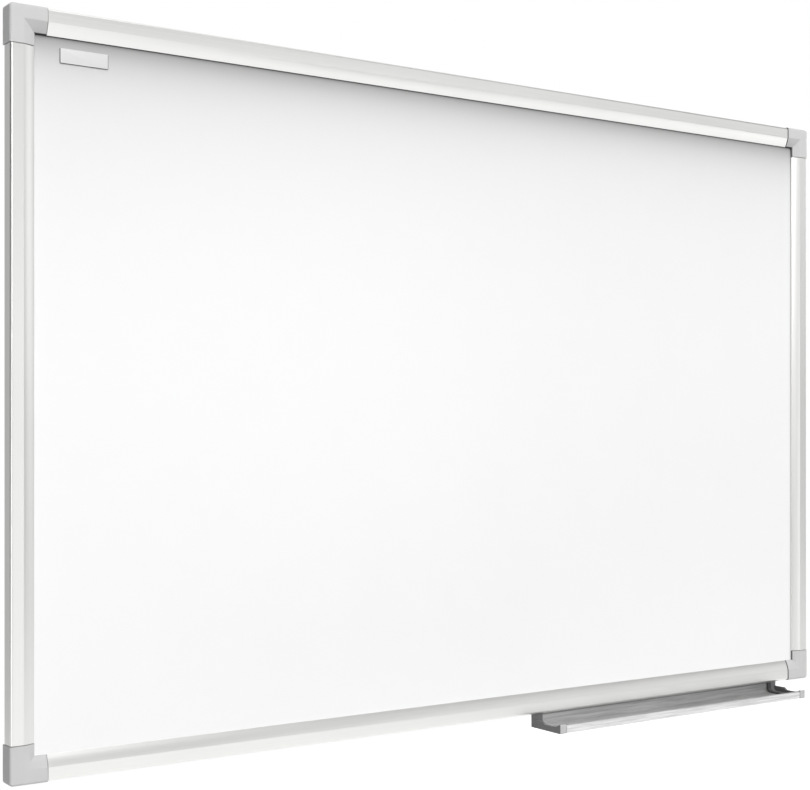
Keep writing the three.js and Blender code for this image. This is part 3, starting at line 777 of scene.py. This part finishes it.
def screwTree():
    # Turns a half section into a pan-head screw, adds its thread and cross recess, and sets one at each given point
    # with its own turn
    tree, add, given = openTree("panHeadScrews", (
        ("Half Section", "Object"), ("Shank Radius", "Float"), ("Thread Height", "Float"), ("Thread Length", "Float"),
        ("Thread Turns", "Float"), ("Recess Width", "Float"), ("Recess Span", "Float"), ("Recess Depth", "Float"),
        ("Head Height", "Float"), ("Turn Seed", "Int"), ("Finish", "Material")))
    drawing = add("GeometryNodeObjectInfo", links={"Object": given["Half Section"]})
    line = add("GeometryNodeMeshToCurve", links={"Mesh": drawing.outputs["Geometry"]})
    place = add("GeometryNodeInputPosition")
    parts = add("ShaderNodeSeparateXYZ", links={"Vector": place}).outputs
    widths = add("GeometryNodeSetCurveRadius", links={"Curve": line, "Radius": parts["X"]})
    onAxis = add("ShaderNodeCombineXYZ", links={"Z": parts["Z"]})
    axisLine = add("GeometryNodeSetPosition", links={"Geometry": widths, "Position": onAxis})
    ring = add("GeometryNodeCurvePrimitiveCircle", links={"Resolution": screwSizes["roundSteps"], "Radius": 1.0})
    width = add("GeometryNodeInputRadius")
    body = add("GeometryNodeCurveToMesh", links={
        "Curve": axisLine, "Profile Curve": ring, "Scale": width, "Fill Caps": True})

    # Two crossed slots cut into the head
    across = add("ShaderNodeCombineXYZ", links={
        "X": given["Recess Span"], "Y": given["Recess Width"], "Z": given["Recess Depth"]})
    along = add("ShaderNodeCombineXYZ", links={
        "X": given["Recess Width"], "Y": given["Recess Span"], "Z": given["Recess Depth"]})
    headTop = add("ShaderNodeCombineXYZ", links={"Z": given["Head Height"]})
    cutters = []
    for size in (across, along):
        slot = add("GeometryNodeMeshCube", links={"Size": size})
        cutters.append(add("GeometryNodeTransform", links={"Geometry": slot, "Translation": headTop}))
    recessed = add("GeometryNodeMeshBoolean", {"operation": "DIFFERENCE"}, {"Mesh 1": body, "Mesh 2": cutters})

    # The thread's ridge winds up the shank
    spiral = add("GeometryNodeCurveSpiral", links={
        "Resolution": screwSizes["threadSteps"], "Rotations": given["Thread Turns"], "Height": given["Thread Length"],
        "Start Radius": given["Shank Radius"], "End Radius": given["Shank Radius"]})
    # Its section is a square set on edge
    ridge = add("GeometryNodeCurvePrimitiveCircle", links={"Resolution": 4, "Radius": given["Thread Height"]})
    thread = add("GeometryNodeCurveToMesh", links={"Curve": spiral, "Profile Curve": ridge, "Fill Caps": True})
    sunk = add("ShaderNodeMath", times, {0: given["Thread Length"], 1: -1.0})
    start = add("ShaderNodeCombineXYZ", links={"Z": sunk})
    threadPlaced = add("GeometryNodeTransform", links={"Geometry": thread, "Translation": start})
    whole = add("GeometryNodeJoinGeometry", links={"Geometry": [recessed, threadPlaced]})
    facing = add("GeometryNodeTransform", links={"Geometry": whole, "Rotation": (-math.pi / 2, 0, 0)})

    turn = add("FunctionNodeRandomValue", {"data_type": "FLOAT"}, {2: 0.0, 3: math.pi / 2, "Seed": given["Turn Seed"]})
    turnAxis = add("ShaderNodeCombineXYZ", links={"Y": turn})
    placed = add("GeometryNodeInstanceOnPoints", links={
        "Points": given["Geometry"], "Instance": facing, "Rotation": turnAxis})
    closeTree(add, placed, given["Finish"])
    return tree


screwNodes = [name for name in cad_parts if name.startswith("screw_")]
screwPlaces = []
for name in screwNodes:
    low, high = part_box(name)
    screwPlaces.append(((low.x + high.x) / 2, -railSizes["wallGap"] * mm, (low.z + high.z) / 2))

# From the tip to the top of the head: distance from the axis, and height over the rail's back. Both ends stay a little
# off the axis, where a ring would have no size.
radius, height, shank = screwSizes["headRadius"], screwSizes["headHeight"], screwSizes["shankRadius"]
halfSection = [
    (0.02, -screwSizes["length"]), (shank * 0.55, -screwSizes["length"] + screwSizes["tip"] * 0.45),
    (shank, -screwSizes["length"] + screwSizes["tip"]), (shank, -0.02), (radius - 0.15, -0.01), (radius, 0.12),
    (radius, height * 0.45), (radius * 0.94, height * 0.72), (radius * 0.8, height * 0.88),
    (radius * 0.58, height * 0.96), (0.02, height),
]
sectionMesh = bpy.data.meshes.new("screwHalfSection")
sectionMesh.from_pydata(
    [(x * mm, 0, z * mm) for x, z in halfSection], [(i, i + 1) for i in range(len(halfSection) - 1)], [])
sectionObject = meshPiece("screwHalfSection", sectionMesh)
placesMesh = bpy.data.meshes.new("screwPlaces")
placesMesh.from_pydata(screwPlaces, [], [])
placesObject = meshPiece("screwPlaces", placesMesh)
threadLength = screwSizes["length"] - screwSizes["tip"]
applyTree(placesObject, screwTree(), {
    "Half Section": sectionObject, "Shank Radius": shank * mm, "Thread Height": screwSizes["threadHeight"] * mm,
    "Thread Length": threadLength * mm, "Thread Turns": threadLength / screwSizes["pitch"],
    "Recess Width": screwSizes["recessWidth"] * mm, "Recess Span": screwSizes["recessSpan"] * mm,
    "Recess Depth": 2 * screwSizes["recessDepth"] * mm, "Head Height": height * mm,
    "Turn Seed": screwSizes["turnSeed"], "Finish": finishes["screw"]})
screwMesh = evaluatedMesh(placesObject, "cornerScrews")
bpy.data.objects.remove(sectionObject)
screwMesh.polygons.foreach_set("use_smooth", [True] * len(screwMesh.polygons))
screwMesh.set_sharp_from_angle(angle=math.radians(screwSizes["creaseAngle"]))
screws = meshPiece("cornerScrews", screwMesh)
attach(screws, "board")
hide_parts(*screwNodes)
print("screws set:", len(screwNodes), "with", len(screwMesh.polygons), "faces")


plateSizes = {
    "left": -408.7,
    "right": -368.2,
    "low": 259.6,
    "high": 271.6,
    "panelFront": 10.4,
    "thickness": 0.8,
    "planRadius": 0.9,
    "planSteps": 6,
    "edgeRadius": 0.2,
    "edgeSteps": 2,
    # The paler face is this thin, and its border is blurred by this much
    "face": 0.1,
    "blur": 0.05,
    # The face is painted darker from its first to its second distance from its left, right and lower borders: painted
    # shadow at the right and lower ones
    "borderShade": (0.5, 0.3),
    # In degrees
    "creaseAngle": 40,
}


def satinAcrylicPlate():
    # Acrylic plate, die cut and satin: pale grey face with dark edges, painted darker along its left, right and lower
    # borders
    material, add, place = newMaterial("satinAcrylicPlate")
    # The satin's grain is about 0.1 mm, drawn at 0.6 mm so that it shows
    grain = add("ShaderNodeTexNoise", links={"Vector": place, "Scale": 1 / (0.6 * mm), "Detail": 2.0})
    parts = add("ShaderNodeSeparateXYZ", links={"Vector": place}).outputs
    faceDepth = -(plateSizes["panelFront"] + plateSizes["thickness"] - plateSizes["face"]) * mm
    rim = add("ShaderNodeMapRange", links={
        "Value": parts["Y"], "From Min": faceDepth - plateSizes["blur"] * mm,
        "From Max": faceDepth + plateSizes["blur"] * mm})
    # The face is painted darker along its left, right and lower borders: painted shadow at the right and lower ones
    borderShadeFrom, borderShadeTo = plateSizes["borderShade"]
    for axis, border, sense in (("X", "left", -1), ("X", "right", 1), ("Z", "low", -1)):
        borderShade = add("ShaderNodeMapRange", links={
            "Value": parts[axis], "From Min": (plateSizes[border] - borderShadeFrom * sense) * mm,
            "From Max": (plateSizes[border] - borderShadeTo * sense) * mm})
        rim = add("ShaderNodeMath", larger, {0: rim, 1: borderShade})
    pale = add("ShaderNodeMix", colours, {0: grain, 6: "#DEDEDE", 7: "#E4E4E4"})
    tone = add("ShaderNodeMix", colours, {0: rim, 6: pale, 7: "#333333"})
    gloss = add("ShaderNodeMapRange", links={"Value": grain, "To Min": 0.3, "To Max": 0.42})
    return surfaced(material, {"IOR": 1.49, "Base Color": tone, "Roughness": gloss})


plateOutline = brokenEdges([
    (plateSizes["left"], plateSizes["low"]), (plateSizes["right"], plateSizes["low"]),
    (plateSizes["right"], plateSizes["high"]), (plateSizes["left"], plateSizes["high"])],
    plateSizes["planRadius"], plateSizes["planSteps"])
bm = bmesh.new()
back = [bm.verts.new((x * mm, -plateSizes["panelFront"] * mm, z * mm)) for x, z in plateOutline]
face = bm.faces.new(back)
pushed = bmesh.ops.extrude_face_region(bm, geom=[face])
front = [item for item in pushed["geom"] if isinstance(item, bmesh.types.BMVert)]
bmesh.ops.translate(bm, verts=front, vec=(0, -plateSizes["thickness"] * mm, 0))
bmesh.ops.recalc_face_normals(bm, faces=bm.faces)
plateMesh = bpy.data.meshes.new("barePlate")
bm.to_mesh(plateMesh)
bm.free()
plateRough = meshPiece("barePlateSharp", plateMesh)
bevel = plateRough.modifiers.new("polishedEdge", "BEVEL")
bevel.width = plateSizes["edgeRadius"] * mm
bevel.segments = plateSizes["edgeSteps"]
bevel.angle_limit = math.radians(plateSizes["creaseAngle"])
plateMesh = evaluatedMesh(plateRough, "barePlate")
plateMesh.polygons.foreach_set("use_smooth", [True] * len(plateMesh.polygons))
plateMesh.set_sharp_from_angle(angle=math.radians(plateSizes["creaseAngle"]))
plateMesh.materials.append(satinAcrylicPlate())
plate = meshPiece("barePlate", plateMesh)
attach(plate, "board")
print("bare plate made")


studio = {
    # The floor's height, its reach to the front and sides and its reach behind the wall's plane, in metres
    "floorHeight": -0.92,
    "floorReach": 3.5,
    "floorBack": 2.5,
    "floorLift": 0.76,
    # The backdrop, in parts of a direction's length: where it curves overhead, how softly it begins, and between which
    # places it falls off to the left. Then what is left of it there, and its share for matt surfaces.
    "overheadFrom": 0.55,
    "softBorder": 0.35,
    "shadeFrom": 0.1,
    "shadeTo": -0.5,
    "sideShade": 0.42,
    "backFill": 0.55,
    # The share of a soft panel's radius that has its full strength
    "panelCore": 0.15,
    # Each soft panel's place in degrees to the right of the board's front and up, its radius in degrees, its strength
    "softPanels": [
        (56, -24, 20, 0.42),
        (8, -8, 20, 0.18),
        (8, 8, 20, 0.61),
        (40, 8, 20, 0.36),
        (40, 24, 20, 0.64),
        (72, -16, 24, 0.90),
        (72, 16, 24, 0.60),
        (-40, -20, 30, 3.64),
        (-80, -20, 30, 0.36),
        (-12, 24, 24, 3.95),
        (0, 50, 26, 3.09),
        (17, -14, 13, 1.36),
        (28, -14, 12, 0.16),
        (47, -14, 10, 2.12),
        (28, 2, 13, 1.38),
        (62, 8, 12, 1.36),
        (46, 12, 12, 0.09),
    ],
}

# Matt pale paint. The eye sees it lifted to white, and it keeps the object's shadow.
floorMaterial = bpy.data.materials.new("paleStudioFloor")
add = bareNodes(floorMaterial)
paint = add("ShaderNodeBsdfPrincipled", links={"Base Color": "#C8C8C8", "Roughness": 0.8})
rays = add("ShaderNodeLightPath").outputs
seen = add("ShaderNodeMath", {"operation": "ADD", "use_clamp": True}, {
    0: rays["Is Camera Ray"], 1: rays["Is Glossy Ray"]})
seenAll = add("ShaderNodeMath", {"operation": "ADD", "use_clamp": True}, {0: seen, 1: rays["Is Transmission Ray"]})
liftLevel = add("ShaderNodeMath", times, {0: seenAll, 1: studio["floorLift"]})
lift = add("ShaderNodeEmission", links={"Color": (1, 1, 1, 1), "Strength": liftLevel})
lifted = add("ShaderNodeAddShader", links={0: paint, 1: lift})
add("ShaderNodeOutputMaterial", links={"Surface": lifted})

floorMesh = bpy.data.meshes.new("studioFloor")
reach, height = studio["floorReach"], studio["floorHeight"]
floorMesh.from_pydata([
    (-reach, -reach, height), (reach, -reach, height),
    (reach, studio["floorBack"], height), (-reach, studio["floorBack"], height)], [], [(0, 1, 2, 3)])
floorMesh.materials.append(floorMaterial)
floor = meshPiece("studioFloor", floorMesh)

world = bpy.data.worlds.new("softStudio")
scene.world = world
add = bareNodes(world)
way = add("ShaderNodeTexCoord").outputs["Generated"]
light = 0.0
for right, up, radius, strength in studio["softPanels"]:
    turn, rise = math.radians(right), math.radians(up)
    towards = (math.sin(turn) * math.cos(rise), -math.cos(turn) * math.cos(rise), math.sin(rise))
    nearness = add("ShaderNodeVectorMath", {"operation": "DOT_PRODUCT"}, {0: way, 1: towards})
    panel = add("ShaderNodeMapRange", smooth, {
        "Value": nearness, "From Min": math.cos(math.radians(radius)),
        "From Max": math.cos(math.radians(studio["panelCore"] * radius)), "To Max": strength})
    light = add("ShaderNodeMath", {"operation": "ADD"}, {0: light, 1: panel})
# Mirror rays see the white backdrop, which stands behind the wall's plane and curves overhead, and which falls off
# to the left. Matt surfaces get part of its light, so that the board's back and top aren't black.
parts = add("ShaderNodeSeparateXYZ", links={"Vector": way}).outputs
overhead = add("ShaderNodeMath", {"operation": "SUBTRACT"}, {0: parts["Z"], 1: studio["overheadFrom"]})
farther = add("ShaderNodeMath", larger, {0: parts["Y"], 1: overhead})
behind = add("ShaderNodeMapRange", smooth, {"Value": farther, "From Min": 0.0, "From Max": studio["softBorder"]})
shade = add("ShaderNodeMapRange", smooth, {
    "Value": parts["X"], "From Min": studio["shadeTo"], "From Max": studio["shadeFrom"],
    "To Min": studio["sideShade"], "To Max": 1.0})
backdrop = add("ShaderNodeMath", times, {0: behind, 1: shade})
rays = add("ShaderNodeLightPath").outputs
mirror = add("ShaderNodeMath", {"operation": "ADD", "use_clamp": True}, {
    0: rays["Is Glossy Ray"], 1: rays["Is Transmission Ray"]})
fill = add("ShaderNodeMapRange", links={"Value": mirror, "To Min": studio["backFill"], "To Max": 1.0})
room = add("ShaderNodeMath", {"operation": "MULTIPLY_ADD"}, {0: backdrop, 1: fill, 2: light})
# The camera sees plain white
strength = add("ShaderNodeMix", {"data_type": "FLOAT"}, {0: rays["Is Camera Ray"], 2: room, 3: 1.0})
background = add("ShaderNodeBackground", links={"Color": (1, 1, 1, 1), "Strength": strength})
add("ShaderNodeOutputWorld", links={"Surface": background})
print("studio lit")
